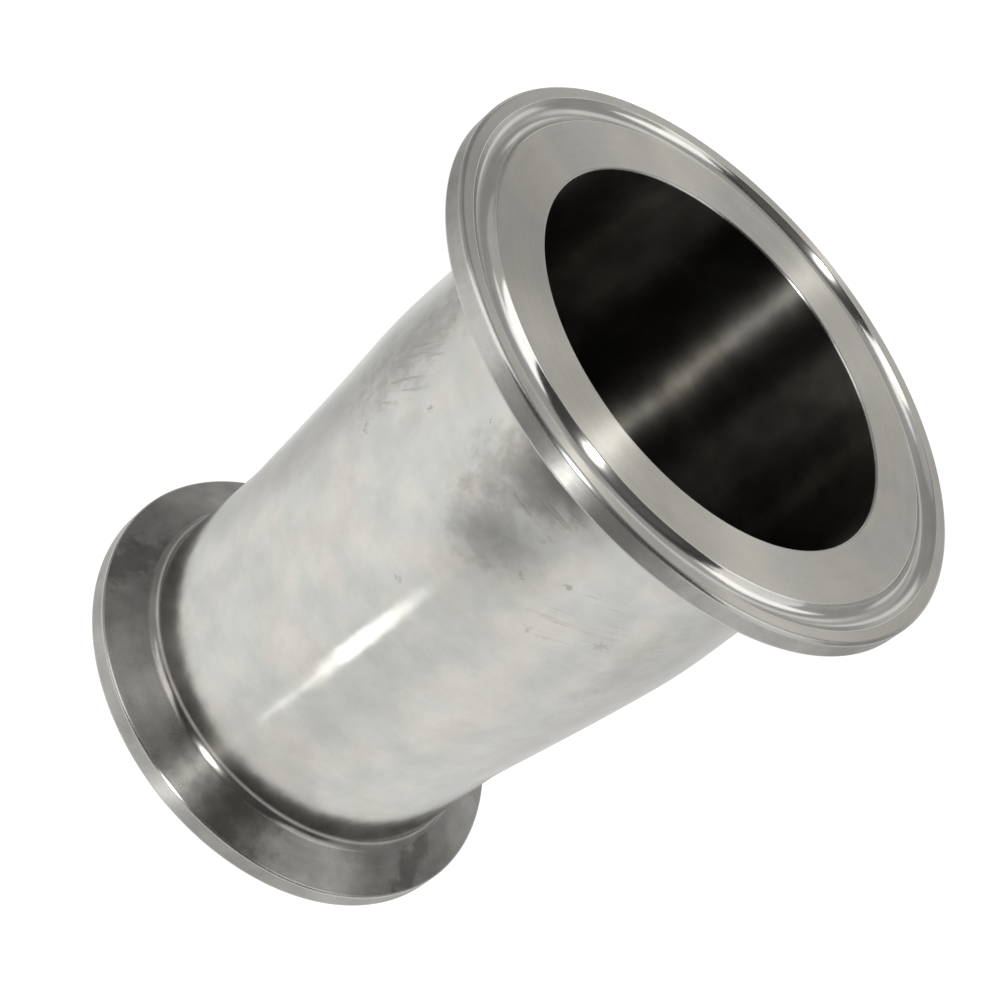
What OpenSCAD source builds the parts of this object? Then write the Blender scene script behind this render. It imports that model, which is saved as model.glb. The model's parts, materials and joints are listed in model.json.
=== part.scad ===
// Sanitary clamp reducer, standing on its small flange.
// One revolved wall: a clamp ferrule at each end and a formed cone between them.
// Origin at the centre of the small face, +Z along the axis towards the large face.

/* [Overall] */
// Length from face to face
length = 85; // [72:1:140]

/* [Large end] */
// Outer diameter of the large clamp flange
large_flange_d = 77.5; // [72:0.5:86]
// Distance from the large rim in to the centre line of its gasket groove
large_groove_inset = 3.5; // [2.7:0.05:4.2]
// Bore of the large tube
large_bore_d = 53; // [48:0.5:57]
// Wall thickness of the large tube
large_wall = 1.75; // [1:0.05:2.5]
// Length of the large end from its face to the start of the cone
large_straight = 29; // [16:1:38]
// Radius of the outer bend between the large tube and the cone
large_bend_r = 100; // [20:5:180]

/* [Small end] */
// Outer diameter of the small clamp flange
small_flange_d = 64; // [61:0.5:72]
// Distance from the small rim in to the centre line of its gasket groove
small_groove_inset = 3.75; // [2.7:0.05:4.2]
// Bore of the small tube
small_bore_d = 47; // [40:0.5:47.5]
// Wall thickness of the small tube
small_wall = 1.9; // [1:0.05:2.5]
// Length of the small end from its face to the start of the cone
small_straight = 22; // [12:1:34]
// Radius of the outer bend between the small tube and the cone
small_bend_r = 40; // [10:5:150]

/* [Clamp flanges] */
// Thickness of the flange at its rim
rim_t = 2.85; // [2.2:0.05:4]
// Angle of the clamping slope behind the rim, measured from the face
slope_angle = 20; // [12:1:30]
// Radius of the half-round gasket groove
groove_r = 1.6; // [1.2:0.05:2]
// Radius of the fillet where the slope runs into the tube
root_r = 1.5; // [0.5:0.1:2.5]

/* [Edges] */
// Radius of the rounded edge between face and rim
face_edge_r = 0.5; // [0.2:0.1:0.8]
// Radius of the rounded edge between rim and slope
rim_edge_r = 0.4; // [0.2:0.1:0.8]
// Radius of the broken edge at each mouth of the bore
bore_edge_r = 0.3; // [0.1:0.1:0.8]

/* [Hidden] */
$fn = 180;
small_tube_d = small_bore_d + 2 * small_wall;
large_tube_d = large_bore_d + 2 * large_wall;
small_root_h = root_height(small_flange_d, small_tube_d);
large_root_h = root_height(large_flange_d, large_tube_d);

// Height above a face at which its clamping slope meets the tube
function root_height(flange_d, tube_d) = rim_t + (flange_d - tube_d) / 2 * tan(slope_angle);

function unit(v) = v / norm(v);

// Corners of the wall in half section, each as its radius from the axis, its height and its rounding
function wall_corners() = [
    [small_bore_d / 2, 0, bore_edge_r],
    [small_flange_d / 2, 0, face_edge_r],
    [small_flange_d / 2, rim_t, rim_edge_r],
    [small_tube_d / 2, small_root_h, root_r],
    [small_tube_d / 2, small_straight, small_bend_r],
    [large_tube_d / 2, length - large_straight, large_bend_r],
    [large_tube_d / 2, length - large_root_h, root_r],
    [large_flange_d / 2, length - rim_t, rim_edge_r],
    [large_flange_d / 2, length, face_edge_r],
    [large_bore_d / 2, length, bore_edge_r],
    [large_bore_d / 2, length - large_straight, large_bend_r - large_wall],
    [small_bore_d / 2, small_straight, small_bend_r + small_wall]
];

// Corner i of an outline with the directions of its two sides: [corner, to the last, to the next]
function corner_frame(corners, i) =
    let (
        count = len(corners),
        corner = [corners[i][0], corners[i][1]],
        last = corners[(i + count - 1) % count],
        next = corners[(i + 1) % count]
    )
    [corner, unit([last[0], last[1]] - corner), unit([next[0], next[1]] - corner)];

// Whether an outline drawn anticlockwise turns inward at a corner
function turns_inward(frame) = cross(frame[1], frame[2]) > 0;

// Where an arc of radius r touches the two sides of a corner
function arc_ends(frame, r) =
    let (reach = r * norm(frame[1] + frame[2]) / norm(frame[1] - frame[2]))
    [frame[0] + frame[1] * reach, frame[0] + frame[2] * reach];

function arc_centre(frame, r) =
    frame[0] + unit(frame[1] + frame[2]) * 2 * r / norm(frame[1] - frame[2]);

// What the arc takes off at a corner: the tip of an outward corner, or the bow of an inward one.
// Each is drawn past the outline, so that no straight edge of it lies along a side.
module corner_cut(frame, r) {
    ends = arc_ends(frame, r);
    centre = arc_centre(frame, r);
    past_corner = 2 * frame[0] - centre - unit(frame[0] - centre) * r;
    past_chord = ends[0] + ends[1] - frame[0];
    if (turns_inward(frame)) {
        intersection() {
            polygon([ends[0], past_corner, ends[1], past_chord]);
            translate(centre) circle(r);
        }
    } else {
        difference() {
            polygon([ends[0], past_corner, ends[1]]);
            translate(centre) circle(r);
        }
    }
}

// A closed outline with every corner rounded, drawn anticlockwise.
// An inward corner starts as the chord of its arc, so that rounding only ever cuts.
module rounded_outline(corners) {
    places = [for (i = [0 : len(corners) - 1]) i];
    difference() {
        polygon([
            for (i = places)
                let (frame = corner_frame(corners, i))
                each turns_inward(frame) ? arc_ends(frame, corners[i][2]) : [frame[0]]
        ]);
        for (i = places) corner_cut(corner_frame(corners, i), corners[i][2]);
    }
}

// Half section of the whole wall, with the gasket groove cut into each face
module wall_section() {
    difference() {
        rounded_outline(wall_corners());
        translate([small_flange_d / 2 - small_groove_inset, 0]) circle(groove_r);
        translate([large_flange_d / 2 - large_groove_inset, length]) circle(groove_r);
    }
}

module reducer() {
    color("silver") rotate_extrude() wall_section();
}

reducer();
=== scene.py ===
"""Sanitary clamp reducer: a ground and turned steel fitting that stands on its small flange.

The wall is one half section spun about Z by a Geometry Nodes tree. It has a finish for each way
that its metal was worked: turned faces, grooves, rims and slopes, broken edges, root rings, a
ground tube and a bore. The rims, slopes, root rings and bore have darker tones that are painted
shade, and the tube's foot and some marks on the tube and slopes are painted shade and painted
reflection.
"""

import json
import logging
import math
from dataclasses import dataclass, field, replace
from enum import Enum
from typing import ClassVar

import bpy
from mathutils import Matrix, Vector

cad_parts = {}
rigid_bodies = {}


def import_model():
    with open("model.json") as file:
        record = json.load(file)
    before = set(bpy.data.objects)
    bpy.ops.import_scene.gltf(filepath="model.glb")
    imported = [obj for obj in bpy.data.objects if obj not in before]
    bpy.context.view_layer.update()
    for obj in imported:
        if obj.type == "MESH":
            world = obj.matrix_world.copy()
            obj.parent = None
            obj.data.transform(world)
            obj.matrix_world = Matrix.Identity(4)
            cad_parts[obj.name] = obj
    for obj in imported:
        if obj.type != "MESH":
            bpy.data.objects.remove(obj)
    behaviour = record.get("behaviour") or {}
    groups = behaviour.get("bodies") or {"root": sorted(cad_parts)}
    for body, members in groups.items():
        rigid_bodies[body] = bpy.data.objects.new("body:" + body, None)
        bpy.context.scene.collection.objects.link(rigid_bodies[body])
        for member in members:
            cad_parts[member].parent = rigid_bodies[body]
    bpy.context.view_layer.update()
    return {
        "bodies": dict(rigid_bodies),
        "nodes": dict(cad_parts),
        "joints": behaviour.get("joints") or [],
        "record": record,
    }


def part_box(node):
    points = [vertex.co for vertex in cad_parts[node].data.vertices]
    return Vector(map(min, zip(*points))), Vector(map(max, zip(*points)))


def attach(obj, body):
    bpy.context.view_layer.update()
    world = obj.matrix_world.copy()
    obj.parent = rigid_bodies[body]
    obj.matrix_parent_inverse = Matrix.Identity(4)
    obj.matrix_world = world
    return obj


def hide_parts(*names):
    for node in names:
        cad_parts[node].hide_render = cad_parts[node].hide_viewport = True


LOG = logging.getLogger("reducer")
MM = 0.001
Socket = bpy.types.NodeSocket
Triple = tuple[float, float, float]
Value = float | str | tuple[float, ...] | Socket | bpy.types.Material
FLAT: Triple = (1.0, 1.0, 0.0)
# Most of a noise texture's values lie between these two.
NOISE_ENDS = (0.3, 0.7)


def grey(level: float) -> tuple[float, float, float, float]:
    """A grey with full alpha."""
    return (level, level, level, 1.0)


def rgba(colour: Triple) -> tuple[float, float, float, float]:
    """The colour with full alpha."""
    return (*colour, 1.0)


def heading(azimuth: float) -> Triple:
    """The level direction at an azimuth in degrees, from -Y towards +X."""
    turn = math.radians(azimuth)
    return (math.sin(turn), -math.cos(turn), 0.0)


def placed(name: str, data: bpy.types.ID) -> bpy.types.Object:
    """Puts an object into the scene.

    Args:
        name: The object's name.
        data: Its mesh, lamp or camera.

    Returns:
        The new object.
    """
    thing = bpy.data.objects.new(name, data)
    bpy.context.scene.collection.objects.link(thing)
    return thing


class Zone(Enum):
    """How a stretch of the wall was worked, in the order of the material slots."""

    FACE = 0
    GROOVE = 1
    RIM = 2
    SLOPE = 3
    EDGE = 4
    ROOT = 5
    TUBE = 6
    BORE = 7


@dataclass(frozen=True)
class SectionPoint:
    """A point of the half section, in millimetres, with the zone of the stretch after it."""

    radius: float
    height: float
    zone: Zone

    @property
    def place(self) -> Vector:
        """The point in the plane of the section."""
        return Vector((self.radius, self.height))


@dataclass(frozen=True)
class Corner(SectionPoint):
    """A corner of the half section, with the radius that rounds it."""

    rounding: float


class Graph:
    """A node tree with short calls that add and join nodes."""

    def __init__(self, tree: bpy.types.NodeTree) -> None:
        """Takes a shader or geometry tree and empties it."""
        self.tree = tree
        tree.nodes.clear()

    def add(self, kind: str, **settings: object) -> bpy.types.Node:
        """Adds a node and sets its properties.

        Args:
            kind: The node's type name.
            **settings: Properties to set on it.

        Returns:
            The new node.
        """
        node = self.tree.nodes.new(kind)
        for name, value in settings.items():
            setattr(node, name, value)
        return node

    def feed(self, socket: Socket, value: Value) -> None:
        """Joins a socket to another, or sets the value it holds.

        Args:
            socket: The input that is fed.
            value: A socket to join it to, or a plain value.
        """
        if isinstance(value, Socket):
            self.tree.links.new(value, socket)
        else:
            socket.default_value = value

    def fill(self, node: bpy.types.Node, values: dict[str | int, Value]) -> bpy.types.Node:
        """Feeds the inputs of a node.

        Args:
            node: The node to feed.
            values: Input name or place to number, colour or socket.

        Returns:
            The same node.
        """
        for name, value in values.items():
            self.feed(node.inputs[name], value)
        return node

    def output(self, kind: str, values: dict[str | int, Value], **settings: object) -> Socket:
        """Adds a node, feeds it and gives its first output."""
        return self.fill(self.add(kind, **settings), values).outputs[0]

    def math(self, operation: str, *values: Value) -> Socket:
        """The output of a Math node with these inputs, in order."""
        return self.output("ShaderNodeMath", dict(enumerate(values)), operation=operation)

    def vector_math(self, operation: str, *values: Value) -> Socket:
        """Adds a Vector Math node.

        Args:
            operation: What it does.
            *values: Its inputs, in order.

        Returns:
            Its output, a number where the operation gives one.
        """
        node = self.add("ShaderNodeVectorMath", operation=operation)
        sockets = [node.inputs[0], node.inputs["Scale"]] if operation == "SCALE" else node.inputs
        for socket, value in zip(sockets, values):
            self.feed(socket, value)
        gives_number = operation in ("LENGTH", "DISTANCE", "DOT_PRODUCT")
        return node.outputs["Value" if gives_number else "Vector"]

    def output_material(self, shader: Value) -> None:
        """Ends a material's tree with a shader."""
        self.fill(self.add("ShaderNodeOutputMaterial"), {"Surface": shader})

    def xyz(self, x: Value, y: Value, z: Value) -> Socket:
        """A vector put together from three values."""
        return self.output("ShaderNodeCombineXYZ", {"X": x, "Y": y, "Z": z})

    def split(self, vector: Value) -> tuple[Socket, ...]:
        """The three parts of a vector."""
        return tuple(self.fill(self.add("ShaderNodeSeparateXYZ"), {0: vector}).outputs)

    def ramp(
        self, value: Value, low: float, high: float, start: Value = 0.0, end: Value = 1.0
    ) -> Socket:
        """A smooth change from start, where value is low or less, to end, where it is high."""
        inputs = {"Value": value, "From Min": low, "From Max": high, "To Min": start, "To Max": end}
        return self.output("ShaderNodeMapRange", inputs, interpolation_type="SMOOTHSTEP")

    def noise(
        self, vector: Value, scale: float = 1.0, detail: float = 2.0, spread: float = 0.5
    ) -> Socket:
        """A noise from 0 to 1, with detail for its octaves and spread for the finer ones' share."""
        inputs = {"Vector": vector, "Scale": scale, "Detail": detail, "Roughness": spread}
        return self.output("ShaderNodeTexNoise", inputs)

    def mix(self, factor: Value, first: Value, second: Value) -> Socket:
        """A colour between two, by factor."""
        node = self.add("ShaderNodeMix", data_type="RGBA")
        return self.fill(node, {0: factor, 6: first, 7: second}).outputs[2]

    def blend(self, factor: Value, first: Value, second: Value) -> Socket:
        """A number between two, by factor."""
        return self.output("ShaderNodeMix", {0: factor, 2: first, 3: second}, data_type="FLOAT")


@dataclass(frozen=True)
class Surface:
    """Sockets of a graph that tell where a shaded point lies, in millimetres.

    around is the length along the circumference from the -Y side towards +X. ragged and specks
    are a coarse and a fine noise about 0, which all the marks of a finish share.
    """

    RAGGED_SCALE: ClassVar[float] = 0.45
    SPECK_SCALE: ClassVar[float] = 2.0

    graph: Graph
    place: Socket
    x: Socket
    y: Socket
    z: Socket
    radius: Socket
    around: Socket
    ragged: Socket
    specks: Socket

    @classmethod
    def read(cls, graph: Graph) -> "Surface":
        """Adds the nodes that read Object coordinates.

        Args:
            graph: The tree to build in.

        Returns:
            The sockets.
        """
        metres = graph.add("ShaderNodeTexCoord").outputs["Object"]
        place = graph.vector_math("SCALE", metres, 1 / MM)
        x, y, z = graph.split(place)
        radius = graph.vector_math("LENGTH", graph.vector_math("MULTIPLY", place, FLAT))
        turn = graph.math("ARCTAN2", x, graph.math("MULTIPLY", y, -1.0))
        around = graph.math("MULTIPLY", turn, radius)
        ragged = graph.math("SUBTRACT", graph.noise(place, cls.RAGGED_SCALE, spread=0.7), 0.5)
        specks = graph.math("SUBTRACT", graph.noise(place, cls.SPECK_SCALE, spread=0.6), 0.5)
        return cls(graph, place, x, y, z, radius, around, ragged, specks)


@dataclass(frozen=True)
class WearAndShadeMark:
    """A darker place on the outside of the wall, with a soft oval edge: wear, painted shade
    and painted reflection, as each finish says.

    azimuth is in degrees from -Y towards +X, height is above the small face, and the halves are
    the oval's half width round the tube and half height, in millimetres. FRAY is how far noise
    pushes the edge, and the mark starts at a nearness of EDGE and is whole at CORE.
    """

    FRAY: ClassVar[float] = 2.2
    EDGE: ClassVar[float] = 0.0
    CORE: ClassVar[float] = 0.85

    azimuth: float
    height: float
    half_width: float
    half_height: float
    strength: float
    tube_r: float = 28.0

    def nearness(self, at: Surface, fray: Value) -> Socket:
        """How deep inside the oval a point lies.

        Args:
            at: Where the point lies.
            fray: How far the edge is pushed in or out there.

        Returns:
            A socket that is 1 in the middle and 0 at the edge.
        """
        graph = at.graph
        middle = math.radians(self.azimuth) * self.tube_r
        across = graph.math("DIVIDE", graph.math("SUBTRACT", at.around, middle), self.half_width)
        along = graph.math("DIVIDE", graph.math("SUBTRACT", at.z, self.height), self.half_height)
        away = graph.vector_math("LENGTH", graph.xyz(across, along, 0.0))
        return graph.math("SUBTRACT", 1.0, graph.math("ADD", away, fray))

    def edge_noise(self, at: Surface) -> Socket:
        """The noise that breaks up the edge."""
        return at.ragged

    def cover(self, at: Surface) -> Socket:
        """How much the mark darkens a point, from 0 to strength."""
        near = self.nearness(at, at.graph.math("MULTIPLY", self.edge_noise(at), self.FRAY))
        return at.graph.ramp(near, self.EDGE, self.CORE, 0.0, self.strength)


@dataclass(frozen=True)
class Pit(WearAndShadeMark):
    """A small pit or a cluster of specks."""

    FRAY: ClassVar[float] = 3.6
    EDGE: ClassVar[float] = 0.1
    CORE: ClassVar[float] = 0.8

    def edge_noise(self, at: Surface) -> Socket:
        """The fine noise that breaks up the edge."""
        return at.specks


@dataclass(frozen=True)
class Scuff(WearAndShadeMark):
    """A patch of fine parallel scratches.

    lean is their angle from the circumference in degrees, pitch their rough spacing in
    millimetres, and STRETCH how many times longer than that they are. A scratch starts and is
    whole at the noise values in STROKE_ENDS, and SLICE is where the noise is cut.
    """

    FRAY: ClassVar[float] = 1.4
    CORE: ClassVar[float] = 0.6
    STRETCH: ClassVar[float] = 12.0
    SLICE: ClassVar[float] = 4.0
    STROKE_ENDS: ClassVar[tuple[float, float]] = (0.5, 0.66)

    lean: float = 0.0
    pitch: float = 0.8

    def cover(self, at: Surface) -> Socket:
        """How much the scratches darken a point.

        Args:
            at: Where the point lies.

        Returns:
            The share's socket, from 0 to strength.
        """
        graph = at.graph
        tilt = math.radians(self.lean)
        cosine, sine = math.cos(tilt), math.sin(tilt)
        down = graph.math("MULTIPLY", at.z, cosine)
        across = graph.math("SUBTRACT", down, graph.math("MULTIPLY", at.around, sine))
        down = graph.math("MULTIPLY", at.z, sine)
        along = graph.math("ADD", down, graph.math("MULTIPLY", at.around, cosine))
        across = graph.math("DIVIDE", across, self.pitch)
        along = graph.math("DIVIDE", along, self.pitch * self.STRETCH)
        strokes = graph.noise(graph.xyz(across, along, self.SLICE), spread=0.6)
        scratched = graph.ramp(strokes, *self.STROKE_ENDS)
        return graph.math("MULTIPLY", scratched, super().cover(at))


@dataclass(frozen=True)
class SteelFinish:
    """A steel surface with the marks of the tool that worked it.

    The tool lines run round the axis. line_pitch, line_depth, cloud_size and uneven are in
    millimetres, and across_shine and along_shine say how far the surface spreads a highlight
    across the tool lines and along them. mottle is how far the tone wanders, grain how far it
    does so from speck to speck, and shade_below the height, at the middle of the tube, under which
    the tone is darkened as painted shade of the dark slope and shadowed floor that the tube's foot
    mirrors, with shade_bow how its edge bends away from there.
    """

    ALONG_THE_LINES: ClassVar[float] = 0.25
    FULL_STRETCH: ClassVar[float] = 0.9
    SHINE_SPREAD: ClassVar[float] = 0.06
    STREAK_SCALE: ClassVar[float] = 2.3
    PATCH_SCALE: ClassVar[float] = 0.7
    PATCH_ENDS: ClassVar[tuple[float, float]] = (0.36, 0.64)
    PATCH_PLACE: ClassVar[Triple] = (31.0, 7.0, 13.0)
    LINE_DRIFT: ClassVar[float] = 1.6
    RADIUS_SHARE: ClassVar[float] = 0.731
    UNEVEN_SCALE: ClassVar[float] = 0.12
    WEAR_AND_SHADE_ROUGHNESS: ClassVar[float] = 0.08
    SHADE_FRAY: ClassVar[float] = 2.0
    PIT_DEPTH: ClassVar[float] = 4.0

    name: str
    tone: Triple
    warm: Triple
    across_shine: float
    along_shine: float
    line_pitch: float
    line_depth: float
    line_share: float
    cloud_size: float
    mottle: float = 0.04
    grain: float = 0.03
    uneven: float = 0.0
    shade_below: float = 0.0
    shade_share: float = 0.68
    shade_bow: float = 0.0045
    shade_fade: tuple[float, float] = (-1.4, 1.0)
    marks: tuple[WearAndShadeMark, ...] = ()
    wear_and_shade_tone: Triple = (0.25, 0.23, 0.195)

    @property
    def anisotropy(self) -> float:
        """The shader's anisotropy that gives the two spreads their ratio."""
        return min(1.0, (1.0 - self.along_shine / self.across_shine) / self.FULL_STRETCH)

    @property
    def roughness(self) -> float:
        """The shader's roughness that gives the two spreads their size."""
        return (self.across_shine * self.along_shine) ** 0.25

    def build(self) -> bpy.types.Material:
        """The finish as a material.

        Returns:
            A material that reads Object coordinates only.
        """
        material = bpy.data.materials.new(self.name)
        material.use_nodes = True
        graph = Graph(material.node_tree)
        at = Surface.read(graph)
        lines = self.lines(at)
        wear_and_shade = self.wear_and_shade(at, self.marks)
        streak_place = graph.vector_math("SCALE", at.place, self.STREAK_SCALE / self.cloud_size)
        least, most = (self.roughness * (1.0 + way * self.SHINE_SPREAD) for way in (-1, 1))
        roughness = graph.ramp(graph.noise(streak_place), *NOISE_ENDS, least, most)
        wear_and_shade_roughness = graph.math("MULTIPLY", wear_and_shade, self.WEAR_AND_SHADE_ROUGHNESS)
        shader = graph.output(
            "ShaderNodeBsdfPrincipled",
            {
                "Base Color": self.colour(at, lines, wear_and_shade),
                "Metallic": 1.0,
                "Roughness": graph.math("ADD", roughness, wear_and_shade_roughness),
                "Anisotropic": self.anisotropy,
                "Anisotropic Rotation": self.ALONG_THE_LINES,
                "Tangent": graph.xyz(graph.math("MULTIPLY", at.y, -1.0), at.x, 0.0),
                "Normal": self.normal(at, lines),
            },
        )
        graph.output_material(shader)
        return material

    def colour(self, at: Surface, lines: Value, wear_and_shade: Value) -> Socket:
        """The metal's tone with clouds, tool lines, marks and painted shade low on the tube.

        Args:
            at: Where the point lies.
            lines: The height of the tool lines.
            wear_and_shade: The share of the marks, wear and painted shade together.

        Returns:
            The colour socket.
        """
        graph = at.graph
        cloud = graph.noise(at.place, 1 / self.cloud_size)
        patch_place = graph.vector_math("ADD", at.place, self.PATCH_PLACE)
        patch = graph.noise(patch_place, self.PATCH_SCALE / self.cloud_size, detail=1.0)
        warmth = graph.ramp(patch, *self.PATCH_ENDS)
        colour = graph.mix(warmth, rgba(self.tone), rgba(self.warm))
        line_dark = graph.ramp(lines, *NOISE_ENDS, self.line_share, 0.0)
        # Marks and tool lines darken the colour towards one tone: the marks are wear, and some of
        # them are painted shade and painted reflection.
        colour = graph.mix(graph.math("MAXIMUM", wear_and_shade, line_dark), colour, rgba(self.wear_and_shade_tone))
        light = graph.ramp(cloud, *NOISE_ENDS, 1.0 - self.mottle, 1.0 + self.mottle)
        light = graph.math("MULTIPLY_ADD", at.ragged, self.mottle * 2, light)
        light = graph.math("MULTIPLY_ADD", at.specks, self.grain * 2, light)
        # Painted shade: below a ragged height that bows up towards the sides, the tone darkens to
        # stand for the dark slope and shadowed floor that the tube's foot mirrors.
        if self.shade_below:
            lift = graph.math("MULTIPLY", graph.math("MULTIPLY", at.x, at.x), -self.shade_bow)
            bowed = graph.math("ADD", at.z, lift)
            edge = graph.math("MULTIPLY_ADD", at.ragged, self.SHADE_FRAY, bowed)
            low, high = (self.shade_below + reach for reach in self.shade_fade)
            light = graph.math("MULTIPLY", light, graph.ramp(edge, low, high, self.shade_share, 1.0))
        return graph.vector_math("SCALE", colour, light)

    def lines(self, at: Surface) -> Socket:
        """The tool lines as a height from 0 to 1.

        Args:
            at: Where the point lies.

        Returns:
            The height socket.
        """
        graph = at.graph
        around = graph.xyz(at.x, at.y, 0.0)
        unit = graph.vector_math("DIVIDE", around, graph.xyz(at.radius, at.radius, 1.0))
        along = graph.vector_math("SCALE", unit, self.LINE_DRIFT)
        across = graph.math("ADD", at.z, graph.math("MULTIPLY", at.radius, self.RADIUS_SHARE))
        across = graph.xyz(0.0, 0.0, graph.math("DIVIDE", across, self.line_pitch))
        return graph.noise(graph.vector_math("ADD", along, across), spread=0.6)

    def wear_and_shade(self, at: Surface, marks: tuple[WearAndShadeMark, ...]) -> Value:
        """Some marks together, as a share from 0 to 1.

        Args:
            at: Where the point lies.
            marks: The marks to lay over each other.

        Returns:
            The share, 0 where there are no marks.
        """
        share: Value = 0.0
        for mark in marks:
            share = at.graph.math("MAXIMUM", share, mark.cover(at))
        return share

    def normal(self, at: Surface, lines: Value) -> Socket:
        """The bump of the tool lines and pits, over the slow unevenness of hand work.

        Args:
            at: Where the point lies.
            lines: The height of the tool lines.

        Returns:
            The normal socket.
        """
        graph = at.graph
        pits = tuple(mark for mark in self.marks if isinstance(mark, Pit))
        if pits:
            sunk = graph.math("MULTIPLY", self.wear_and_shade(at, pits), -self.PIT_DEPTH)
            lines = graph.math("ADD", lines, sunk)
        inputs = {"Strength": 1.0, "Distance": self.line_depth * MM, "Height": lines}
        if self.uneven:
            slow_height = graph.noise(at.place, self.UNEVEN_SCALE, spread=0.4)
            slow = {"Strength": 1.0, "Distance": self.uneven * MM, "Height": slow_height}
            inputs["Normal"] = graph.output("ShaderNodeBump", slow)
        return graph.output("ShaderNodeBump", inputs)


FINISHES: dict[Zone, SteelFinish] = {
    Zone.FACE: SteelFinish(
        name="turned_face", tone=(0.585, 0.565, 0.525), warm=(0.63, 0.605, 0.545),
        across_shine=0.3, along_shine=0.035, line_pitch=0.5, line_depth=0.0008, line_share=0.07,
        cloud_size=8.0, mottle=0.03, grain=0.06,
    ),
    Zone.GROOVE: SteelFinish(
        name="turned_groove", tone=(0.62, 0.61, 0.58), warm=(0.65, 0.63, 0.59),
        across_shine=0.06, along_shine=0.012, line_pitch=0.6, line_depth=0.0004, line_share=0.06,
        cloud_size=7.0,
    ),
    # Painted shade: the rim's tone is set darker than the face's, to stand for the darker floor and
    # surroundings that it mirrors.
    Zone.RIM: SteelFinish(
        name="turned_rim", tone=(0.40, 0.395, 0.375), warm=(0.44, 0.43, 0.40),
        across_shine=0.4, along_shine=0.042, line_pitch=0.45, line_depth=0.0008, line_share=0.1,
        cloud_size=6.0, mottle=0.06, grain=0.13,
    ),
    # Painted shade: the slope's tone is set darker to stand for the dark surroundings it mirrors,
    # and its marks are painted reflections of darker surroundings.
    Zone.SLOPE: SteelFinish(
        name="turned_slope", tone=(0.30, 0.29, 0.275), warm=(0.345, 0.335, 0.315),
        across_shine=0.17, along_shine=0.04, line_pitch=0.5, line_depth=0.0008, line_share=0.15,
        cloud_size=4.0, mottle=0.1, grain=0.08, wear_and_shade_tone=(0.12, 0.115, 0.105),
        # azimuth, height, half width, half height, strength
        marks=(
            WearAndShadeMark(-66.0, 4.0, 6.0, 6.0, 0.6, tube_r=29.0),
            WearAndShadeMark(14.0, 4.0, 9.0, 6.0, 0.45, tube_r=29.0),
            WearAndShadeMark(76.0, 4.0, 4.5, 6.0, 0.65, tube_r=29.0),
        ),
    ),
    Zone.EDGE: SteelFinish(
        name="broken_edge", tone=(0.46, 0.455, 0.435), warm=(0.5, 0.485, 0.46),
        across_shine=0.16, along_shine=0.025, line_pitch=0.4, line_depth=0.0004, line_share=0.05,
        cloud_size=5.0,
    ),
    # Painted shade: the root fillets in the creases between the tube and the slopes get a darker
    # tone.
    Zone.ROOT: SteelFinish(
        name="unpolished_root", tone=(0.33, 0.315, 0.295), warm=(0.38, 0.36, 0.33),
        across_shine=0.1, along_shine=0.025, line_pitch=0.4, line_depth=0.0004, line_share=0.1,
        cloud_size=4.0, mottle=0.08, wear_and_shade_tone=(0.12, 0.115, 0.105),
    ),
    # Painted shade: the tube's tone darkens below 9 mm at its foot.
    Zone.TUBE: SteelFinish(
        name="ground_tube", tone=(0.49, 0.49, 0.465), warm=(0.53, 0.515, 0.475),
        across_shine=0.048, along_shine=0.017, line_pitch=0.7, line_depth=0.0004, line_share=0.03,
        cloud_size=5.0, mottle=0.05, uneven=0.12, shade_below=9.0,
        # azimuth, height, half width, half height, strength
        marks=(
            # The first three marks are a grinding smudge below the large flange, darkened further
            # as painted reflection of the dark card. The two tall marks after them are darker
            # upright streaks at the sides.
            WearAndShadeMark(-3.0, 63.5, 6.0, 6.5, 0.22),
            WearAndShadeMark(-3.0, 74.0, 8.5, 7.0, 0.36),
            WearAndShadeMark(-10.5, 70.0, 5.5, 9.0, 0.3),
            WearAndShadeMark(-55.0, 64.0, 6.0, 15.0, 0.35),
            WearAndShadeMark(52.0, 58.0, 4.0, 14.0, 0.15),
            Scuff(1.0, 73.0, 6.0, 6.0, 0.6),
            Scuff(-50.0, 63.0, 5.5, 13.0, 0.5, lean=60.0),
            Scuff(30.0, 62.5, 7.0, 6.0, 0.3, lean=20.0),
            Pit(-43.5, 53.4, 1.2, 0.9, 0.45),
            Pit(-34.0, 64.4, 0.5, 0.7, 0.6),
            Pit(-21.1, 72.0, 0.5, 0.5, 0.5),
            Pit(-5.6, 48.6, 0.5, 0.6, 0.6),
            Pit(11.8, 62.6, 0.6, 0.6, 0.35),
            Pit(21.2, 65.9, 0.6, 0.5, 0.5),
            Pit(23.2, 57.6, 0.9, 0.7, 0.35),
            Pit(39.8, 61.0, 1.5, 0.8, 0.35),
        ),
    ),
    # Painted shade: the bore's tone is set very dark to stand for the shade inside it.
    Zone.BORE: SteelFinish(
        name="dull_bore", tone=(0.104, 0.1, 0.091), warm=(0.138, 0.127, 0.108),
        across_shine=0.27, along_shine=0.027, line_pitch=0.8, line_depth=0.001, line_share=0.2,
        cloud_size=9.0, mottle=0.2, wear_and_shade_tone=(0.096, 0.089, 0.08),
    ),
}


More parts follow.
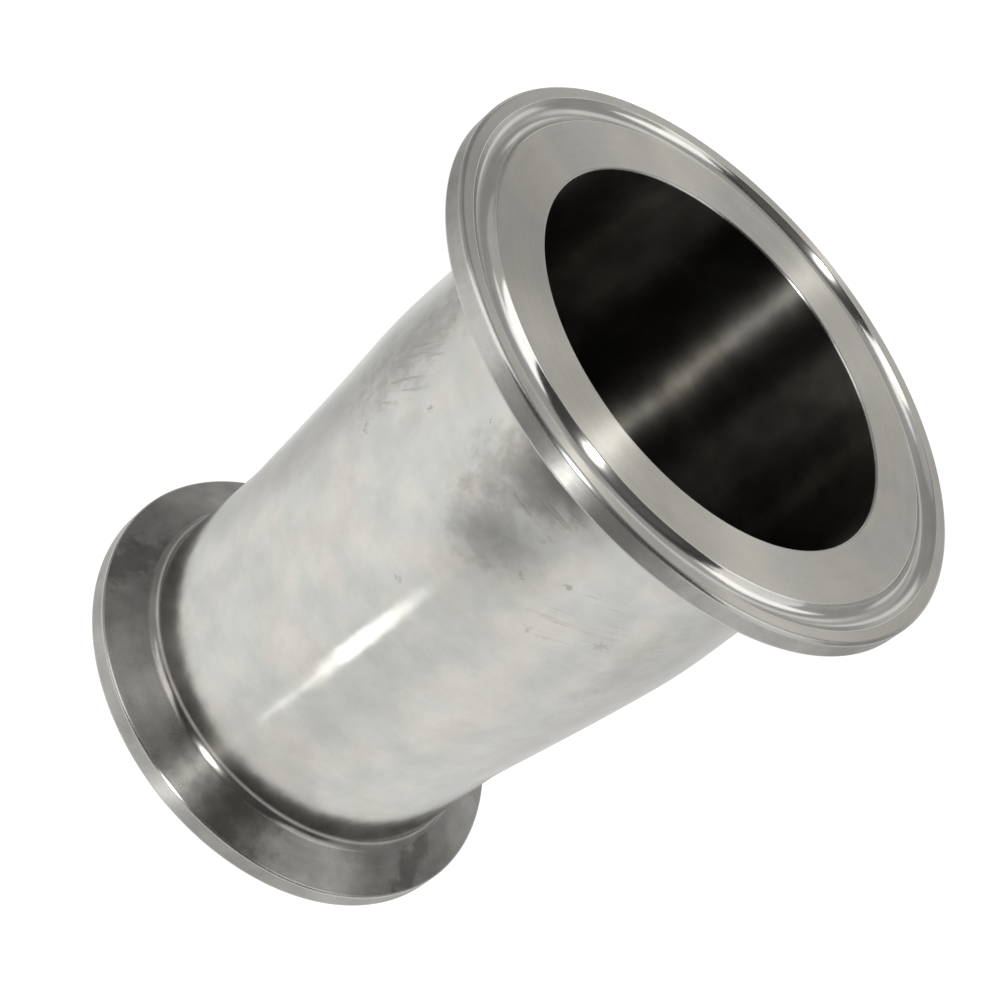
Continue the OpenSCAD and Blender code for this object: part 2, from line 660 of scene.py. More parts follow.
class SectionSpinner:
    """A Geometry Nodes tree that spins a half section about Z into a closed wall.

    The section comes in as loose points in the XZ plane, in order, each with its zone's number
    and how far hand work changed the shape there.
    """

    ZONE = "zone"
    HAND_WORK = "hand_work"
    MERGE_DISTANCE = 0.001 * MM

    def __init__(self, materials: dict[Zone, bpy.types.Material], sizes: dict[str, float]) -> None:
        """Builds the tree.

        Args:
            materials: The material that each zone gets.
            sizes: Name to value of each input besides the section, counts as whole numbers.
        """
        self.tree = bpy.data.node_groups.new("spin_section", "GeometryNodeTree")
        self.graph = Graph(self.tree)
        add_socket = self.tree.interface.new_socket
        add_socket("Section", in_out="INPUT", socket_type="NodeSocketGeometry")
        self.values: dict[str, float] = {}
        for name, value in sizes.items():
            kind = "NodeSocketInt" if isinstance(value, int) else "NodeSocketFloat"
            socket = add_socket(name, in_out="INPUT", socket_type=kind)
            self.values[socket.identifier] = value
        add_socket("Wall", in_out="OUTPUT", socket_type="NodeSocketGeometry")
        self.source = self.graph.add("NodeGroupInput").outputs
        wall = self.dressed(self.ground(self.spun()), materials)
        self.graph.feed(self.graph.add("NodeGroupOutput").inputs[0], wall)

    def named(self, attribute: str, kind: str) -> Socket:
        """The field of a named attribute of a data type."""
        node = self.graph.add("GeometryNodeInputNamedAttribute", data_type=kind)
        return self.graph.fill(node, {"Name": attribute}).outputs["Attribute"]

    def sampled(self, value: Value, kind: str, index: Value) -> Socket:
        """A field of the section, read at the point with an index."""
        inputs = {"Geometry": self.source["Section"], "Value": value, "Index": index}
        return self.graph.output("GeometryNodeSampleIndex", inputs, data_type=kind, domain="POINT")

    def stored(self, wall: Value, name: str, kind: str, domain: str, value: Value) -> Socket:
        """The wall with a field stored on a domain of it as a named attribute."""
        node = self.graph.add("GeometryNodeStoreNamedAttribute", data_type=kind, domain=domain)
        return self.graph.fill(node, {"Geometry": wall, "Name": name, "Value": value}).outputs[0]

    def spun(self) -> Socket:
        """A grid whose columns are wrapped round the axis and whose rows follow the section.

        Returns:
            The geometry socket, merged along its two seams.
        """
        graph = self.graph
        segments, points = self.source["Segments"], self.source["Points"]
        columns = graph.math("ADD", segments, 1.0)
        rows = graph.math("ADD", points, 1.0)
        grid = graph.output("GeometryNodeMeshGrid", {"Vertices X": columns, "Vertices Y": rows})
        index = graph.add("GeometryNodeInputIndex").outputs[0]
        face_row = graph.math("MODULO", index, points)
        zone = self.sampled(self.named(self.ZONE, "INT"), "INT", face_row)
        wall = self.stored(grid, self.ZONE, "INT", "FACE", zone)
        row = graph.math("MODULO", graph.math("MODULO", index, rows), points)
        hand_work = self.sampled(self.named(self.HAND_WORK, "FLOAT"), "FLOAT", row)
        wall = self.stored(wall, self.HAND_WORK, "FLOAT", "POINT", hand_work)
        column = graph.math("FLOOR", graph.math("DIVIDE", graph.math("ADD", index, 0.5), rows))
        turn = graph.math("MULTIPLY", graph.math("DIVIDE", column, segments), math.tau)
        position = graph.add("GeometryNodeInputPosition").outputs[0]
        radius, _, height = graph.split(self.sampled(position, "FLOAT_VECTOR", row))
        place = graph.xyz(
            graph.math("MULTIPLY", radius, graph.math("COSINE", turn)),
            graph.math("MULTIPLY", radius, graph.math("SINE", turn)),
            height,
        )
        open_wall = graph.output("GeometryNodeSetPosition", {"Geometry": wall, "Position": place})
        inputs = {"Geometry": open_wall, "Distance": self.MERGE_DISTANCE}
        return graph.output("GeometryNodeMergeByDistance", inputs)

    def hump(self, height: Value, size: str, middle: str, reach: str) -> Socket:
        """A length that swells and fades along the wall.

        Args:
            height: Where along the wall it is read.
            size: The input that names its largest value.
            middle: The input that names the height where it is largest.
            reach: The input that names how far from there it is gone.

        Returns:
            The length's socket.
        """
        graph = self.graph
        away = graph.math("ABSOLUTE", graph.math("SUBTRACT", height, self.source[middle]))
        near = graph.math("SUBTRACT", 1.0, graph.math("DIVIDE", away, self.source[reach]))
        return graph.math("MULTIPLY", self.source[size], graph.ramp(near, 0.0, 1.0))

    def ground(self, wall: Value) -> Socket:
        """The wall with the slight lack of truth that forming and hand grinding leave.

        Args:
            wall: The true wall.

        Returns:
            The geometry socket, with its cone shifted a little along X and its tube wavy.
        """
        graph = self.graph
        weight = self.named(self.HAND_WORK, "FLOAT")
        place = graph.add("GeometryNodeInputPosition").outputs[0]
        height = graph.split(place)[2]
        shift = self.hump(height, "Cone shift", "Shift middle", "Shift reach")
        neck = self.hump(height, "Neck depth", "Neck middle", "Neck reach")
        frequency = graph.math("DIVIDE", 1.0, self.source["Wave size"])
        scaled = graph.vector_math("SCALE", place, frequency)
        seeded = graph.vector_math("ADD", scaled, graph.xyz(self.source["Seed"], 0.0, 0.0))
        wave = graph.math("SUBTRACT", graph.noise(seeded, detail=1.0), 0.5)
        wave = graph.math("SUBTRACT", graph.math("MULTIPLY", wave, self.source["Waviness"]), neck)
        normal = graph.add("GeometryNodeInputNormal").outputs[0]
        outward = graph.vector_math("SCALE", normal, wave)
        move = graph.vector_math("ADD", graph.xyz(shift, 0.0, 0.0), outward)
        inputs = {"Geometry": wall, "Offset": graph.vector_math("SCALE", move, weight)}
        return graph.output("GeometryNodeSetPosition", inputs)

    def dressed(self, wall: Value, materials: dict[Zone, bpy.types.Material]) -> Socket:
        """The wall shaded smooth, with each zone's material on its faces.

        Args:
            wall: The finished shape.
            materials: The material that each zone gets.

        Returns:
            The geometry socket for the group's output.
        """
        graph = self.graph
        smooth = graph.output("GeometryNodeSetShadeSmooth", {"Geometry": wall})
        wall = graph.output("GeometryNodeRealizeInstances", {"Geometry": smooth})
        zone_here = self.named(self.ZONE, "INT")
        for zone, material in materials.items():
            same = {2: zone_here, 3: zone.value}
            kinds = {"data_type": "INT", "operation": "EQUAL"}
            selection = graph.output("FunctionNodeCompare", same, **kinds)
            inputs = {"Geometry": wall, "Selection": selection, "Material": material}
            wall = graph.output("GeometryNodeSetMaterial", inputs)
        return wall

    def wall(self, name: str, section: bpy.types.Mesh) -> bpy.types.Object:
        """Spins a section into a plain mesh object.

        Args:
            name: The new object's name.
            section: The points of the section, in metres.

        Returns:
            The object, with no modifier left on it.
        """
        carrier = placed(name + "_section", section)
        modifier = carrier.modifiers.new("spin", "NODES")
        modifier.node_group = self.tree
        for identifier, value in self.values.items():
            modifier[identifier] = value
        bpy.context.view_layer.update()
        evaluated = carrier.evaluated_get(bpy.context.evaluated_depsgraph_get())
        mesh = bpy.data.meshes.new_from_object(evaluated)
        mesh.name = name
        if mesh.materials[0] is None:
            mesh.materials.pop(index=0)
        bpy.data.objects.remove(carrier)
        return placed(name, mesh)


@dataclass
class ClampReducer:
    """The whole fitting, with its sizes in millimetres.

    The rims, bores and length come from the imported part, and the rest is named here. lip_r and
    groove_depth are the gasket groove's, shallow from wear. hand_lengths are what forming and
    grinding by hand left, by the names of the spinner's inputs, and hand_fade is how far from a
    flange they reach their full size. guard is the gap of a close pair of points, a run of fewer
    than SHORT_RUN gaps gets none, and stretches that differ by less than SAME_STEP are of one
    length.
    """

    LEAST_STEPS: ClassVar[int] = 4
    SHORT_RUN: ClassVar[int] = 8
    SAME_STEP: ClassVar[float] = 1e-4

    length: float
    large_flange_r: float
    small_flange_r: float
    large_bore_r: float
    small_bore_r: float
    large_wall: float = 1.75
    small_wall: float = 1.9
    large_groove_inset: float = 3.5
    small_groove_inset: float = 3.75
    large_straight: float = 29.0
    small_straight: float = 22.0
    large_bend_r: float = 100.0
    small_bend_r: float = 40.0
    rim_t: float = 2.85
    slope_angle: float = 20.0
    groove_r: float = 1.6
    root_r: float = 1.5
    face_edge_r: float = 0.5
    rim_edge_r: float = 0.4
    bore_edge_r: float = 0.3
    lip_r: float = 0.25
    groove_depth: float = 1.2
    segments: int = 256
    arc_step: float = 9.0
    guard: float = 0.03
    wave_seed: float = 3.7
    hand_fade: float = 12.0
    hand_lengths: dict[str, float] = field(
        default_factory=lambda: {
            "Cone shift": 0.3,
            "Shift middle": 42.0,
            "Shift reach": 28.0,
            "Neck depth": 0.2,
            "Neck middle": 67.0,
            "Neck reach": 16.0,
            "Waviness": 0.06,
            "Wave size": 14.0,
        }
    )
    steps: dict[Zone, float] = field(
        default_factory=lambda: {
            Zone.FACE: 2.0,
            Zone.GROOVE: 1.0,
            Zone.RIM: 1.0,
            Zone.SLOPE: 2.0,
            Zone.EDGE: 1.0,
            Zone.ROOT: 1.0,
            Zone.TUBE: 1.25,
            Zone.BORE: 2.5,
        }
    )

    @classmethod
    def from_frame(cls, frame: dict[str, object]) -> "ClampReducer":
        """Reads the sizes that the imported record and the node's box hold.


        Returns:
            The fitting with those sizes.
        """
        mounts = {mount["name"]: mount["dims"] for mount in frame["record"]["mounts"]}
        low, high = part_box("reducer")
        return cls(
            length=(high.z - low.z) / MM,
            large_flange_r=mounts["large_rim"]["r_mm"],
            small_flange_r=mounts["small_rim"]["r_mm"],
            large_bore_r=mounts["large_bore"]["r_mm"],
            small_bore_r=mounts["small_bore"]["r_mm"],
        )

    def root_height(self, flange_r: float, tube_r: float) -> float:
        """Height above its face at which a flange's slope meets the tube."""
        return self.rim_t + (flange_r - tube_r) * math.tan(math.radians(self.slope_angle))

    def corners(self) -> list[Corner]:
        """The corners of the half section.

        Returns:
            The corners, anticlockwise from the small bore's mouth.
        """
        small_tube_r = self.small_bore_r + self.small_wall
        large_tube_r = self.large_bore_r + self.large_wall
        small_root = self.root_height(self.small_flange_r, small_tube_r)
        large_root = self.length - self.root_height(self.large_flange_r, large_tube_r)
        cone_top = self.length - self.large_straight
        rim_low = self.length - self.rim_t
        inner_large_r = self.large_bend_r - self.large_wall
        inner_small_r = self.small_bend_r + self.small_wall
        return [
            Corner(self.small_bore_r, 0.0, Zone.FACE, self.bore_edge_r),
            Corner(self.small_flange_r, 0.0, Zone.RIM, self.face_edge_r),
            Corner(self.small_flange_r, self.rim_t, Zone.SLOPE, self.rim_edge_r),
            Corner(small_tube_r, small_root, Zone.TUBE, self.root_r),
            Corner(small_tube_r, self.small_straight, Zone.TUBE, self.small_bend_r),
            Corner(large_tube_r, cone_top, Zone.TUBE, self.large_bend_r),
            Corner(large_tube_r, large_root, Zone.SLOPE, self.root_r),
            Corner(self.large_flange_r, rim_low, Zone.RIM, self.rim_edge_r),
            Corner(self.large_flange_r, self.length, Zone.FACE, self.face_edge_r),
            Corner(self.large_bore_r, self.length, Zone.BORE, self.bore_edge_r),
            Corner(self.large_bore_r, cone_top, Zone.BORE, inner_large_r),
            Corner(self.small_bore_r, self.small_straight, Zone.BORE, inner_small_r),
        ]

    def arc(
        self, centre: Vector, radius: float, start: float, end: float, zone: Zone
    ) -> list[SectionPoint]:
        """Points along an arc of the section.

        Args:
            centre: The arc's centre.
            radius: Its radius.
            start: Its first angle in radians.
            end: Its last angle in radians.
            zone: The zone it belongs to.

        Returns:
            The points, both ends included.
        """
        count = max(self.LEAST_STEPS, math.ceil(abs(end - start) / math.radians(self.arc_step)))
        angles = [start + (end - start) * step / count for step in range(count + 1)]
        return [
            SectionPoint(centre.x + radius * math.cos(a), centre.y + radius * math.sin(a), zone)
            for a in angles
        ]

    def rounded(self, last: Corner, corner: Corner, after: Corner) -> list[SectionPoint]:
        """The arc that rounds a corner between its two neighbours.

        Args:
            last: The corner before it.
            corner: The corner that is rounded.
            after: The corner after it.

        Returns:
            The arc's points, the last of them in the zone that follows.
        """
        back = (last.place - corner.place).normalized()
        on = (after.place - corner.place).normalized()
        half = back.angle(on) / 2
        centre = corner.place + (back + on).normalized() * corner.rounding / math.sin(half)
        arms = (
            corner.place + side * corner.rounding / math.tan(half) - centre for side in (back, on)
        )
        start, end = (math.atan2(arm.y, arm.x) for arm in arms)
        turn = (end - start + math.pi) % math.tau - math.pi
        zone = corner.zone
        if corner.rounding <= self.root_r:
            zone = Zone.ROOT if corner.rounding == self.root_r else Zone.EDGE
        points = self.arc(centre, corner.rounding, start, start + turn, zone)
        return points[:-1] + [replace(points[-1], zone=corner.zone)]

    def groove(
        self, flange_r: float, inset: float, height: float, way: float
    ) -> list[SectionPoint]:
        """The round gasket groove in a face, shallow from wear, not a half-round, with broken lips.

        Args:
            flange_r: The flange's outer radius.
            inset: Distance from the rim to the groove's centre line.
            height: The height of the face.
            way: 1 on the small face, where the section runs outwards, and -1 on the large one.

        Returns:
            The groove's points in the order of the section, the last of them in the face again.
        """
        middle = Vector((flange_r - inset, height))
        arc_r = (self.groove_r**2 + self.groove_depth**2) / (2 * self.groove_depth)
        rise = arc_r - self.groove_depth
        span = arc_r + self.lip_r
        lean = math.asin((rise + self.lip_r) / span)
        reach = span * math.cos(lean)
        turn = 0.0 if way > 0 else math.pi
        centre = middle - Vector((0.0, rise)) * way
        first = middle + Vector((-reach, self.lip_r)) * way
        second = middle + Vector((reach, self.lip_r)) * way
        back = turn + math.pi
        points = self.arc(first, self.lip_r, turn - math.pi / 2, turn - lean, Zone.GROOVE)
        points += self.arc(centre, arc_r, back - lean, turn + lean, Zone.GROOVE)[1:]
        points += self.arc(second, self.lip_r, back + lean, turn + 1.5 * math.pi, Zone.GROOVE)[1:]
        return points[:-1] + [replace(points[-1], zone=Zone.FACE)]

    def outline(self) -> list[SectionPoint]:
        """The closed section: rounded corners and grooves, with the straights stepped between them.

        Returns:
            The points in order, without a repeat of the first.
        """
        corners = self.corners()
        small_groove = self.groove(self.small_flange_r, self.small_groove_inset, 0.0, 1.0)
        large_groove = self.groove(self.large_flange_r, self.large_groove_inset, self.length, -1.0)
        stops: list[SectionPoint] = []
        for index, corner in enumerate(corners):
            stops += self.rounded(corners[index - 1], corner, corners[(index + 1) % len(corners)])
            if corner.zone is Zone.FACE:
                stops += small_groove if corner.height == 0.0 else large_groove
        return self.stepped(stops)

    def stepped(self, stops: list[SectionPoint]) -> list[SectionPoint]:
        """Divides the long stretches, with a close pair of points at each end of them.

        The close pairs keep the smooth shading of the arcs off the flats beside them.

        Args:
            stops: The ends of arcs and straights, in order.

        Returns:
            All the points of the section.
        """
        points: list[SectionPoint] = []
        for index, stop in enumerate(stops):
            run = stops[(index + 1) % len(stops)].place - stop.place
            points.append(stop)
            if run.length < self.SHORT_RUN * self.guard or self.on_arc(stops, index):
                continue
            inner = run.length - 2 * self.guard
            count = max(1, round(inner / self.steps[stop.zone]))
            for step in range(count + 1):
                distance = self.guard + inner * step / count
                place = stop.place + run.normalized() * distance
                points.append(SectionPoint(place.x, place.y, stop.zone))
        return points

    def on_arc(self, stops: list[SectionPoint], index: int) -> bool:
        """Whether the stretch after a stop is one of several equal steps of an arc.

        Args:
            stops: The ends of arcs and straights, in order.
            index: The stop.

        Returns:
            True where a neighbouring stretch is of the same length.
        """
        places = [stops[(index + step) % len(stops)].place for step in (-1, 0, 1, 2)]
        before, here, after = ((b - a).length for a, b in zip(places, places[1:]))
        return min(abs(before - here), abs(after - here)) < self.SAME_STEP

    def hand_work(self, point: SectionPoint) -> float:
        """How far hand grinding changed the shape at a point.

        Args:
            point: A point of the section.

        Returns:
            A share from 0, at the flanges and in the bore, to 1 on the tube.
        """
        if point.zone is not Zone.TUBE:
            return 0.0
        margin = self.rim_t + self.hand_fade / 3
        low = point.height - margin
        high = self.length - margin - point.height
        return max(0.0, min(1.0, low / self.hand_fade, high / self.hand_fade))

    def section_mesh(self) -> bpy.types.Mesh:
        """The section as loose points in metres.

        Returns:
            A mesh with the attributes that the spinner reads.
        """
        points = self.outline()
        mesh = bpy.data.meshes.new("reducer_section")
        mesh.from_pydata([(p.radius * MM, 0.0, p.height * MM) for p in points], [], [])
        zones = mesh.attributes.new(SectionSpinner.ZONE, "INT", "POINT")
        zones.data.foreach_set("value", [p.zone.value for p in points])
        work = mesh.attributes.new(SectionSpinner.HAND_WORK, "FLOAT", "POINT")
        work.data.foreach_set("value", [self.hand_work(p) for p in points])
        return mesh

    def build(self) -> bpy.types.Object:
        """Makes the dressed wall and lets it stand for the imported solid.

        Returns:
            The finished piece.
        """
        section = self.section_mesh()
        materials = {zone: finish.build() for zone, finish in FINISHES.items()}
        sizes = {"Segments": self.segments, "Points": len(section.vertices), "Seed": self.wave_seed}
        sizes |= {name: length * MM for name, length in self.hand_lengths.items()}
        piece = SectionSpinner(materials, sizes).wall("reducer_wall", section)
        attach(piece, "root")
        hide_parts("reducer")
        return piece


@dataclass(frozen=True)
class Lamp:
    """A soft oval lamp that looks at a point, in metres.

    radiance is its brightness as seen, so that 1 is white.
    """

    name: str
    place: Triple
    target: Triple
    width: float
    height: float
    radiance: float

    def build(self) -> bpy.types.Object:
        """Makes the lamp, unseen by the camera.

        Returns:
            The lamp's object.
        """
        data = bpy.data.lights.new(self.name, "AREA")
        data.shape = "ELLIPSE"
        data.size = self.width
        data.size_y = self.height
        data.energy = self.radiance * math.pi * math.pi / 4 * self.width * self.height
        lamp = placed(self.name, data)
        lamp.location = self.place
        aim = Vector(self.target) - Vector(self.place)
        lamp.rotation_euler = aim.to_track_quat("-Z", "Y").to_euler()
        lamp.visible_camera = False
        return lamp


@dataclass(frozen=True)
class Panel:
    """A soft-edged part of the surroundings, by the angles at which the part sees it.

    Angles are in degrees, azimuth from -Y towards +X, and a level of 1 is white.
    """

    azimuth: float
    half_width: float
    low: float
    high: float
    level: float
    soft: float = 8.0

    def paint(self, graph: Graph, flat: Value, elevation: Value, below: Value) -> Socket:
        """Lays the panel over what is there.

        Args:
            graph: The world's tree.
            flat: The level direction of the ray.
            elevation: Its elevation in degrees.
            below: The brightness that the panel covers.

        Returns:
            The brightness with the panel.
        """
        half = self.soft / 2
        cover = graph.ramp(elevation, self.low - half, self.low + half)
        top = graph.ramp(elevation, self.high - half, self.high + half, 1.0, 0.0)
        cover = graph.math("MULTIPLY", cover, top)
        if self.half_width < 180.0:
            ahead = graph.vector_math("DOT_PRODUCT", flat, heading(self.azimuth))
            edge = math.cos(math.radians(self.half_width + half))
            core = math.cos(math.radians(self.half_width - half))
            cover = graph.math("MULTIPLY", cover, graph.ramp(ahead, edge, core))
        rise = graph.math("SUBTRACT", self.level, below)
        return graph.math("MULTIPLY_ADD", cover, rise, below)


@dataclass(frozen=True)
class Reflector:
    """A pale upright board beside the part, which only the metal mirrors.

    Lengths are in millimetres, and azimuth is in degrees from -Y towards +X.
    """

    name: str
    azimuth: float
    distance: float
    half_width: float
    low: float
    high: float
    level: float

    def corners(self) -> list[Vector]:
        """The board's corners.

        Returns:
            The corners in metres, in order.
        """
        out = Vector(heading(self.azimuth)) * self.distance
        side = Vector(heading(self.azimuth + 90.0)) * self.half_width
        ends = ((-1, self.low), (1, self.low), (1, self.high), (-1, self.high))
        return [(out + side * way + Vector((0.0, 0.0, height))) * MM for way, height in ends]


@dataclass(frozen=True)
class Pool:
    """A pool of light on the floor to one side of the part, by azimuth in degrees."""

    azimuth: float
    half_width: float
    rise: float

    def paint(self, graph: Graph, flat: Value) -> Socket:
        """How much the pool adds to the floor's glow.

        Args:
            graph: The floor's tree.
            flat: The direction of a point of the floor from the part's axis.

        Returns:
            The added share.
        """
        ahead = graph.vector_math("DOT_PRODUCT", flat, heading(self.azimuth))
        edge = math.cos(math.radians(self.half_width))
        return graph.ramp(ahead, edge, 1.0, 0.0, self.rise)


@dataclass
class Studio:
    """The pale floor, the soft surroundings, the lamps and the camera, in metres.

    The foot is the patch of floor that the part shuts off from the light. The card is darkest
    towards card_ahead, and fades out between the cosines card_core and card_side from there.
    """

    floor_half: float = 1.5
    floor_height: float = -0.05 * MM
    floor_glow: float = 0.93
    floor_mirrored: float = 0.72
    floor_paint: float = 0.25
    pools: tuple[Pool, ...] = (
        Pool(azimuth=-52.0, half_width=60.0, rise=0.36),
        Pool(azimuth=70.0, half_width=50.0, rise=0.24),
        Pool(azimuth=10.0, half_width=70.0, rise=0.12),
        # Pools with a negative rise are painted shade on the floor where the metal mirrors it.
        Pool(azimuth=-108.0, half_width=28.0, rise=-0.24),
        Pool(azimuth=108.0, half_width=26.0, rise=-0.13),
        Pool(azimuth=154.0, half_width=38.0, rise=-0.2),
    )
    foot_centre: tuple[float, float] = (0.003, 0.0075)
    foot_r: float = 0.027
    foot_fade: float = 1.3
    card_centre: tuple[float, float] = (0.006, -0.45)
    card_r: float = 0.345
    card_height: float = 0.2 * MM
    card_sides: int = 96
    card_paint: float = 0.03
    card_soft: float = 0.035
    card_ahead: Triple = (0.08, -1.0, 0.0)
    card_core: float = 0.93
    card_side: float = 0.6
    open_level: float = 0.44
    eye: Triple = (-0.0023, -0.25265, 0.22557)
    look_down: float = 35.169
    look_aside: float = 0.033
    roll: float = 51.4
    lens: float = 88.2
    sensor_width: float = 36.0
    clip_start: float = 0.01
    panels: tuple[Panel, ...] = (
        Panel(azimuth=0.0, half_width=180.0, low=64.0, high=200.0, level=0.45, soft=10.0),
        Panel(azimuth=-134.0, half_width=36.0, low=-20.0, high=52.0, level=0.34, soft=12.0),
        Panel(azimuth=132.0, half_width=18.0, low=-20.0, high=52.0, level=0.37, soft=12.0),
        Panel(azimuth=180.0, half_width=36.0, low=4.0, high=22.0, level=0.92, soft=8.0),
        Panel(azimuth=169.0, half_width=15.0, low=32.0, high=54.0, level=0.88, soft=10.0),
        Panel(azimuth=15.0, half_width=66.0, low=-20.0, high=86.0, level=0.056, soft=5.0),
        Panel(azimuth=26.0, half_width=22.0, low=18.0, high=68.0, level=0.13, soft=20.0),
    )
    reflectors: tuple[Reflector, ...] = (
        # name, azimuth, distance, half width, low, high, level
        Reflector("left_board", -52.5, 180.0, 51.0, 78.0, 430.0, 1.75),
        Reflector("left_back_board", -88.0, 190.0, 69.0, 78.0, 262.0, 0.52),
        Reflector("left_high_board", -82.0, 190.0, 47.0, 262.0, 480.0, 1.4),
        Reflector("right_board", 75.0, 120.0, 39.0, 78.0, 166.0, 1.0),
        Reflector("right_high_board", 96.0, 190.0, 88.0, 195.0, 370.0, 1.6),
    )
    lamps: tuple[Lamp, ...] = (
        # name, place, target, width, height, radiance
        Lamp("flash", (0.002, -0.262, 0.262), (0.0, 0.0, 0.06), 0.011, 0.011, 2900.0),
        Lamp("low_strip", (0.0012, -0.0595, 0.001), (0.0012, -0.059, 0.1), 0.0085, 0.018, 1.8),
        Lamp("low_strip_end", (0.001, -0.046, 0.001), (0.001, -0.0455, 0.1), 0.0022, 0.008, 0.5),
    )

    def build(self) -> None:
        """Makes everything that isn't the part."""
        self.build_floor()
        self.build_card()
        for reflector in self.reflectors:
            self.build_reflector(reflector)
            LOG.info("%s at azimuth %g", reflector.name, reflector.azimuth)
        self.build_world()
        self.build_camera()
        for lamp in self.lamps:
            lamp.build()
            LOG.info("lamp %s at %s", lamp.name, lamp.place)

    def stage_piece(self, name: str, mesh: bpy.types.Mesh) -> tuple[bpy.types.Object, Graph]:
        """A piece of the studio with an empty material.

        Args:
            name: The object's name.
            mesh: Its mesh.

        Returns:
            The object and its material's tree.
        """
        piece = placed(name, mesh)
        material = bpy.data.materials.new(name)
        material.use_nodes = True
        material.cycles.emission_sampling = "NONE"
        mesh.materials.append(material)
        return piece, Graph(material.node_tree)

    def mirrored_piece(self, name: str, corners: list[Triple | Vector]) -> Graph:
        """A flat piece of the studio that only the metal sees.

        Args:
            name: The object's name.
            corners: Its corners in metres, in order.

        Returns:
            Its material's tree.
        """
        mesh = bpy.data.meshes.new(name)
        mesh.from_pydata(corners, [], [tuple(range(len(corners)))])
        piece, graph = self.stage_piece(name, mesh)
        piece.visible_camera = False
        piece.visible_diffuse = False
        piece.visible_shadow = False
        return graph

    def build_floor(self) -> None:
        """A white floor that keeps the part's shadow and is dark where the part shuts light out."""
        half, height = self.floor_half, self.floor_height
        signs = ((-1, -1), (1, -1), (1, 1), (-1, 1))
        mesh = bpy.data.meshes.new("pale_floor")
        mesh.from_pydata([(half * x, half * y, height) for x, y in signs], [], [(0, 1, 2, 3)])
        graph = self.stage_piece("pale_floor", mesh)[1]
        path = graph.add("ShaderNodeLightPath").outputs
        seen = graph.math("MAXIMUM", path["Is Glossy Ray"], path["Is Transmission Ray"])
        seen = graph.math("MAXIMUM", path["Is Camera Ray"], seen)
        place = graph.add("ShaderNodeTexCoord").outputs["Object"]
        flat = graph.vector_math("MULTIPLY", place, FLAT)
        away = graph.vector_math("DISTANCE", flat, (*self.foot_centre, 0.0))
        open_floor = graph.ramp(away, self.foot_r, self.foot_r * self.foot_fade)
        side = graph.vector_math("NORMALIZE", flat)
        level: Value = 1.0
        for pool in self.pools:
            level = graph.math("ADD", level, pool.paint(graph, side))
        open_level = graph.math("MULTIPLY", open_floor, self.floor_mirrored)
        mirrored = graph.math("MULTIPLY", level, open_level)
        shown = graph.blend(path["Is Camera Ray"], mirrored, self.floor_glow)
        strength = graph.math("MULTIPLY", seen, shown)
        glow = graph.output("ShaderNodeEmission", {"Strength": strength})
        paint = graph.output("ShaderNodeBsdfDiffuse", {"Color": grey(self.floor_paint)})
        graph.output_material(graph.output("ShaderNodeAddShader", {0: glow, 1: paint}))

    def build_card(self) -> None:
        """A round dark card on the floor before the camera, which only the metal mirrors."""
        x, y = self.card_centre
        turns = [math.tau * step / self.card_sides for step in range(self.card_sides)]
        rim = [
            (x + self.card_r * math.cos(turn), y + self.card_r * math.sin(turn), self.card_height)
            for turn in turns
        ]
        graph = self.mirrored_piece("dark_card", rim)
        paint = graph.output("ShaderNodeBsdfDiffuse", {"Color": grey(self.card_paint)})
        place = graph.add("ShaderNodeTexCoord").outputs["Object"]
        away = graph.vector_math("DISTANCE", place, (x, y, 0.0))
        round_cover = graph.ramp(away, self.card_r - self.card_soft, self.card_r, 1.0, 0.0)
        side = graph.vector_math("NORMALIZE", place)
        ahead = graph.vector_math("DOT_PRODUCT", side, self.card_ahead)
        middle = graph.ramp(ahead, self.card_side, self.card_core)
        cover = graph.math("MULTIPLY", round_cover, middle)
        clear = graph.add("ShaderNodeBsdfTransparent").outputs[0]
        graph.output_material(graph.output("ShaderNodeMixShader", {0: cover, 1: clear, 2: paint}))

    def build_reflector(self, reflector: Reflector) -> None:
        """Makes an evenly bright board that the camera and the floor don't see."""
        graph = self.mirrored_piece(reflector.name, reflector.corners())
        graph.output_material(graph.output("ShaderNodeEmission", {"Strength": reflector.level}))

    def build_world(self) -> None:
        """White to the camera, and soft grey with pale panels and a dark stretch to the metal."""
        world = bpy.data.worlds.new("studio")
        bpy.context.scene.world = world
        world.use_nodes = True
        world.cycles.sampling_method = "NONE"
        graph = Graph(world.node_tree)
        ray = graph.add("ShaderNodeTexCoord").outputs["Generated"]
        elevation = graph.math("DEGREES", graph.math("ARCSINE", graph.split(ray)[2]))
        flat = graph.vector_math("NORMALIZE", graph.vector_math("MULTIPLY", ray, FLAT))
        level: Value = self.open_level
        for panel in self.panels:
            level = panel.paint(graph, flat, elevation, level)
        by_camera = graph.add("ShaderNodeLightPath").outputs["Is Camera Ray"]
        inputs = {"Color": grey(1.0), "Strength": graph.blend(by_camera, level, 1.0)}
        back = graph.output("ShaderNodeBackground", inputs)
        graph.fill(graph.add("ShaderNodeOutputWorld"), {"Surface": back})

    def build_camera(self) -> None:
        """The camera, looking down at the part and rolled so that its axis leans to the right."""
        data = bpy.data.cameras.new("camera")
        data.lens = self.lens
        data.sensor_width = self.sensor_width
        data.clip_start = self.clip_start
        angles = (self.look_down, self.look_aside, self.roll)
        down, aside, roll = (math.radians(angle) for angle in angles)
        level = Vector((math.cos(aside), math.sin(aside), 0.0))
        ahead = Vector((-math.sin(aside), math.cos(aside), 0.0)) * math.cos(down)
        ahead.z = -math.sin(down)
        upright = level.cross(ahead)
        right = level * math.cos(roll) + upright * math.sin(roll)
        up = upright * math.cos(roll) - level * math.sin(roll)
        camera = placed("camera", data)
        turn = Matrix((right, up, -ahead)).transposed().to_4x4()
        camera.matrix_world = Matrix.Translation(self.eye) @ turn
        bpy.context.scene.camera = camera


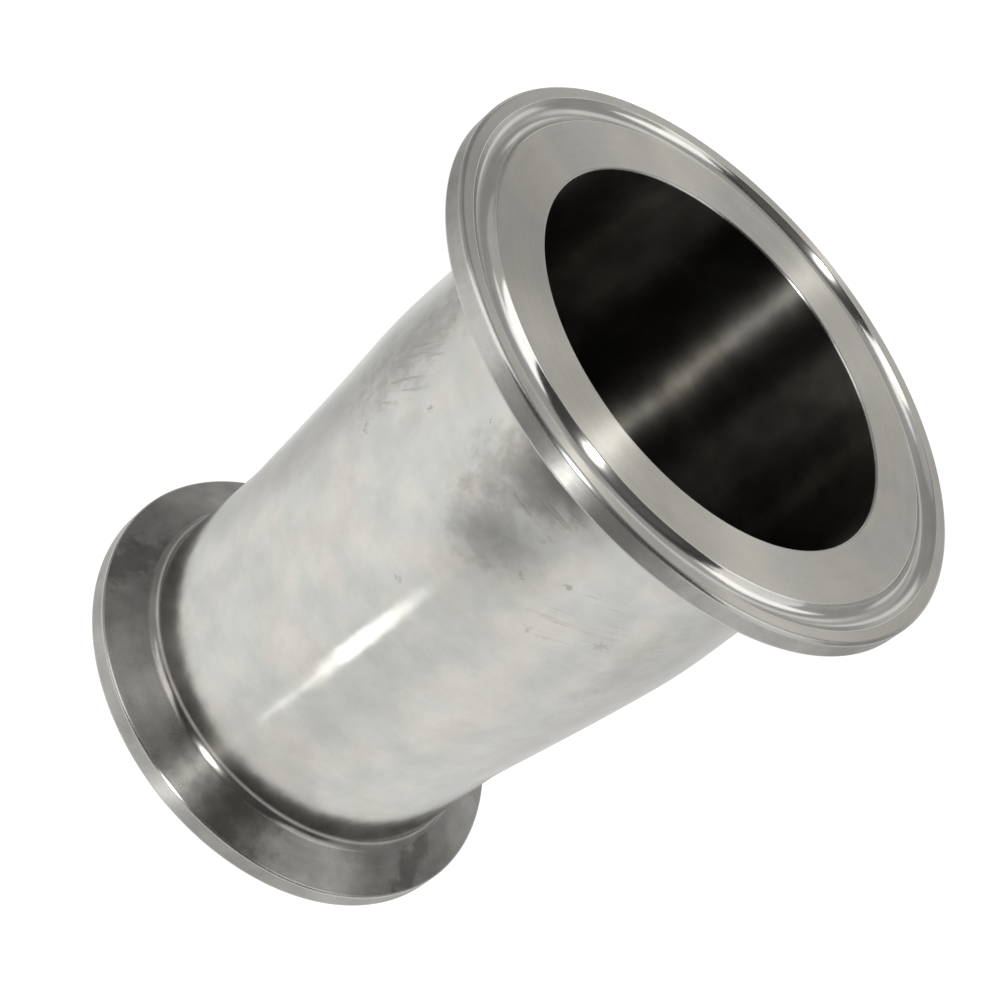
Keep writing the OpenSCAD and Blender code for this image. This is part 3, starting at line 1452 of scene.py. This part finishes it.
def main() -> None:
    """Builds the part and its studio."""
    logging.basicConfig(level=logging.INFO, format="%(name)s: %(message)s")
    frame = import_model()
    piece = ClampReducer.from_frame(frame).build()
    LOG.info("piece %s: %d faces", piece.name, len(piece.data.polygons))
    Studio().build()
    bpy.context.scene.view_settings.view_transform = "Standard"


if __name__ == "__main__":
    main()
